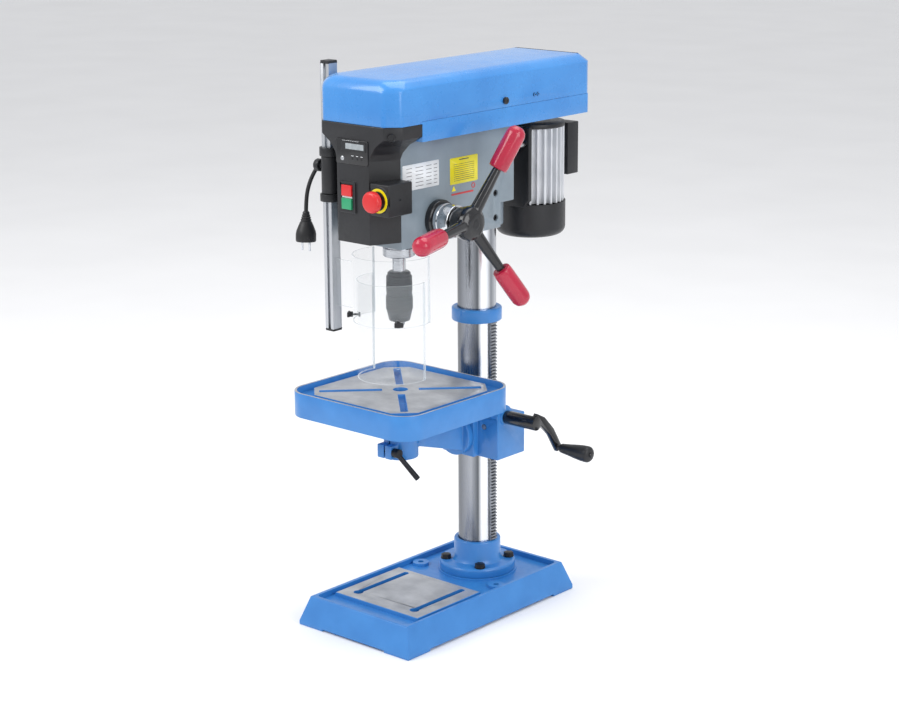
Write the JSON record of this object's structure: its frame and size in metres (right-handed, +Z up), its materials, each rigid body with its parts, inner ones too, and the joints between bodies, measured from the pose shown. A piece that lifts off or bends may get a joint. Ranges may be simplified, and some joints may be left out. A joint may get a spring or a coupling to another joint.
{
  "type": "bench drill press",
  "caption": "Bench drill press with a belt-driven spindle, a feed handle, a rack-lifted tilting table, a see-through guard and a slotted cast base.",
  "frame": {"origin": "on the bench, midway between the two bench-bolt holes of the base", "axes": "+Z up, -Y towards the operator, +X towards the feed handle"},
  "size_m": [0.4376, 0.6208, 1.051],
  "materials": {
    "blue_enamel": "satin",
    "grey_enamel": "satin",
    "machined_steel": "satin",
    "bright_steel": "gloss",
    "black_steel": "satin",
    "aluminium": "satin",
    "black_plastic": "satin",
    "red_plastic": "gloss",
    "signal_red": "gloss",
    "signal_green": "gloss",
    "clear_plastic": "gloss",
    "rubber": "matte"
  },
  "bodies": {
    "root": {"base": "blue_enamel", "column_flange": "blue_enamel", "flange_bolts": "black_steel", "column": "machined_steel", "rack_collar": "blue_enamel", "head_casting": "grey_enamel", "belt_tray": "blue_enamel", "front_cover": "black_plastic", "display_panel": "black_plastic", "e_stop_box": "black_plastic", "depth_ring_seat": "black_steel", "spring_cap": "black_steel", "return_spring": "machined_steel", "front_belt": "rubber", "rear_belt": "rubber", "guard_bracket": "black_plastic", "cord": "rubber", "plug": "black_plastic", "cord_gland": "black_plastic"},
    "rack": {"rack": "machined_steel"},
    "lift_bracket": {"lift_bracket": "blue_enamel"},
    "column_lock": {"column_lock_lever": "black_steel"},
    "lift_gear": {"lift_gear": "machined_steel"},
    "crank": {"lift_worm": "machined_steel", "crank_arm": "black_steel"},
    "crank_grip": {"crank_grip": "black_plastic"},
    "table_arm": {"table_arm": "blue_enamel"},
    "table_clamp": {"table_clamp_lever": "black_steel"},
    "table": {"table": "blue_enamel"},
    "quill": {"quill": "bright_steel", "quill_bearings": "machined_steel"},
    "spindle": {"spindle": "machined_steel", "chuck_body": "black_steel"},
    "chuck_sleeve": {"chuck_sleeve": "black_steel"},
    "chuck_jaw_1": {"chuck_jaw_1": "bright_steel"},
    "chuck_jaw_2": {"chuck_jaw_2": "bright_steel"},
    "chuck_jaw_3": {"chuck_jaw_3": "bright_steel"},
    "spindle_pulley": {"spindle_pulley": "aluminium"},
    "idler_pulley": {"idler_pulley": "aluminium"},
    "motor": {"motor_body": "aluminium", "motor_plate": "black_steel", "slide_rods": "machined_steel", "motor_fan_cover": "black_plastic", "terminal_box": "black_plastic"},
    "rotor": {"motor_shaft": "machined_steel", "motor_pulley": "aluminium"},
    "feed": {"feed_shaft": "machined_steel", "feed_hub": "black_steel", "feed_grips": "red_plastic"},
    "depth_ring": {"depth_ring": "bright_steel"},
    "lid": {"lid": "blue_enamel"},
    "start_button": {"start_button": "signal_green"},
    "stop_button": {"stop_button": "signal_red"},
    "e_stop_button": {"e_stop_button": "signal_red"},
    "guard_swivel": {"guard_sleeve": "black_plastic"},
    "guard_knob": {"guard_lock_knob": "black_plastic"},
    "guard_rail": {"guard_rail": "aluminium", "guard_upper": "clear_plastic", "guard_knobs": "black_plastic"},
    "guard_lower": {"guard_lower": "clear_plastic"}
  },
  "joints": [
    {"name": "table_swing", "type": "hinge", "parent": "root", "child": "rack", "pos_m": [0, 0.058, 0.3], "axis": [0, 0, 1], "range_deg": [-90, 90]},
    {"name": "table_lift", "type": "slide", "parent": "rack", "child": "lift_bracket", "axis": [0, 0, 1], "range_m": [-0.16, 0.005]},
    {"name": "column_lock_turn", "type": "hinge", "parent": "lift_bracket", "child": "column_lock", "pos_m": [-0.06, 0.058, 0.352], "axis": [1, 0, 0], "range_deg": [-40, 40]},
    {"name": "lift_gear_spin", "type": "hinge", "parent": "lift_bracket", "child": "lift_gear", "pos_m": [0.0542, 0.058, 0.352], "axis": [0, 1, 0], "range_deg": [-24.87, 764.94]},
    {"name": "crank_turn", "type": "hinge", "parent": "lift_bracket", "child": "crank", "pos_m": [0.0542, 0.036, 0.374], "axis": [1, 0, 0], "range_deg": [-4583.66, 143.24]},
    {"name": "crank_grip_spin", "type": "hinge", "parent": "crank", "child": "crank_grip", "pos_m": [0.2, 0.10408, 0.31236], "axis": [1, 0, 0], "continuous": true},
    {"name": "table_tilt", "type": "hinge", "parent": "lift_bracket", "child": "table_arm", "pos_m": [0, 0, 0.332], "axis": [0, 1, 0], "range_deg": [-10, 10]},
    {"name": "table_clamp_turn", "type": "hinge", "parent": "table_arm", "child": "table_clamp", "pos_m": [0.02, -0.196, 0.344], "axis": [1, 0, 0], "range_deg": [-60, 0]},
    {"name": "table_turn", "type": "hinge", "parent": "table_arm", "child": "table", "pos_m": [0, -0.158, 0.4], "axis": [0, 0, 1], "range_deg": [-15, 15]},
    {"name": "quill_slide", "type": "slide", "parent": "root", "child": "quill", "axis": [0, 0, -1], "range_m": [0, 0.08]},
    {"name": "spindle_spin", "type": "hinge", "parent": "quill", "child": "spindle", "pos_m": [0, -0.158, 0.7], "axis": [0, 0, 1], "continuous": true},
    {"name": "chuck_sleeve_turn", "type": "hinge", "parent": "spindle", "child": "chuck_sleeve", "pos_m": [0, -0.158, 0.6], "axis": [0, 0, 1], "range_deg": [0, 360]},
    {"name": "chuck_jaw_1_slide", "type": "slide", "parent": "spindle", "child": "chuck_jaw_1", "axis": [0.866, 0.5, 0], "range_m": [0, 0.0058]},
    {"name": "chuck_jaw_2_slide", "type": "slide", "parent": "spindle", "child": "chuck_jaw_2", "axis": [-0.866, 0.5, 0], "range_m": [0, 0.0058]},
    {"name": "chuck_jaw_3_slide", "type": "slide", "parent": "spindle", "child": "chuck_jaw_3", "axis": [0, -1, 0], "range_m": [0, 0.0058]},
    {"name": "spindle_pulley_spin", "type": "hinge", "parent": "root", "child": "spindle_pulley", "pos_m": [0, -0.158, 0.98], "axis": [0, 0, 1], "continuous": true},
    {"name": "idler_pulley_spin", "type": "hinge", "parent": "root", "child": "idler_pulley", "pos_m": [0, 0.002, 0.98], "axis": [0, 0, 1], "continuous": true},
    {"name": "motor_tension", "type": "slide", "parent": "root", "child": "motor", "axis": [0, 1, 0], "range_m": [-0.012, 0], "deforming": ["rear_belt"]},
    {"name": "motor_spin", "type": "hinge", "parent": "motor", "child": "rotor", "pos_m": [0, 0.218, 0.85], "axis": [0, 0, 1], "continuous": true},
    {"name": "feed_turn", "type": "hinge", "parent": "root", "child": "feed", "pos_m": [0.1, -0.122, 0.773], "axis": [1, 0, 0], "range_deg": [0, 352.6], "stiffness_Nm_per_rad": 0.25, "springref_deg": -171.89},
    {"name": "depth_ring_turn", "type": "hinge", "parent": "root", "child": "depth_ring", "pos_m": [0.09, -0.122, 0.773], "axis": [1, 0, 0], "range_deg": [0, 345]},
    {"name": "lid_hinge", "type": "hinge", "parent": "root", "child": "lid", "pos_m": [0, 0.288, 0.961], "axis": [-1, 0, 0], "range_deg": [0, 80]},
    {"name": "start_press", "type": "slide", "parent": "root", "child": "start_button", "axis": [0, 1, 0], "range_m": [0, 0.0025], "stiffness_N_per_m": 400},
    {"name": "stop_press", "type": "slide", "parent": "root", "child": "stop_button", "axis": [0, 1, 0], "range_m": [0, 0.0025], "stiffness_N_per_m": 400},
    {"name": "e_stop_press", "type": "slide", "parent": "root", "child": "e_stop_button", "axis": [0, 1, 0], "range_m": [0, 0.005]},
    {"name": "guard_swing", "type": "hinge", "parent": "root", "child": "guard_swivel", "pos_m": [-0.112, -0.214, 0.85], "axis": [0, 0, 1], "range_deg": [-100, 0]},
    {"name": "guard_knob_turn", "type": "hinge", "parent": "guard_swivel", "child": "guard_knob", "pos_m": [-0.142, -0.214, 0.86], "axis": [1, 0, 0], "range_deg": [-180, 180]},
    {"name": "guard_height", "type": "slide", "parent": "guard_swivel", "child": "guard_rail", "axis": [0, 0, 1], "range_m": [0, 0.018]},
    {"name": "guard_lower_slide", "type": "slide", "parent": "guard_rail", "child": "guard_lower", "axis": [0, 0, 1], "range_m": [0, 0.045]}
  ],
  "couplings": [
    {"joint": "table_lift", "follows": "crank_turn", "m_per_rad": 0.002},
    {"joint": "lift_gear_spin", "follows": "crank_turn", "ratio": -0.16667},
    {"joint": "quill_slide", "follows": "feed_turn", "m_per_rad": 0.013},
    {"joint": "idler_pulley_spin", "follows": "motor_spin", "ratio": 0.57082},
    {"joint": "spindle_pulley_spin", "follows": "motor_spin", "ratio": 0.47282},
    {"joint": "spindle_spin", "follows": "motor_spin", "ratio": 0.47282},
    {"joint": "chuck_jaw_1_slide", "follows": "chuck_sleeve_turn", "m_per_rad": 0.00092},
    {"joint": "chuck_jaw_2_slide", "follows": "chuck_sleeve_turn", "m_per_rad": 0.00092},
    {"joint": "chuck_jaw_3_slide", "follows": "chuck_sleeve_turn", "m_per_rad": 0.00092}
  ]
}
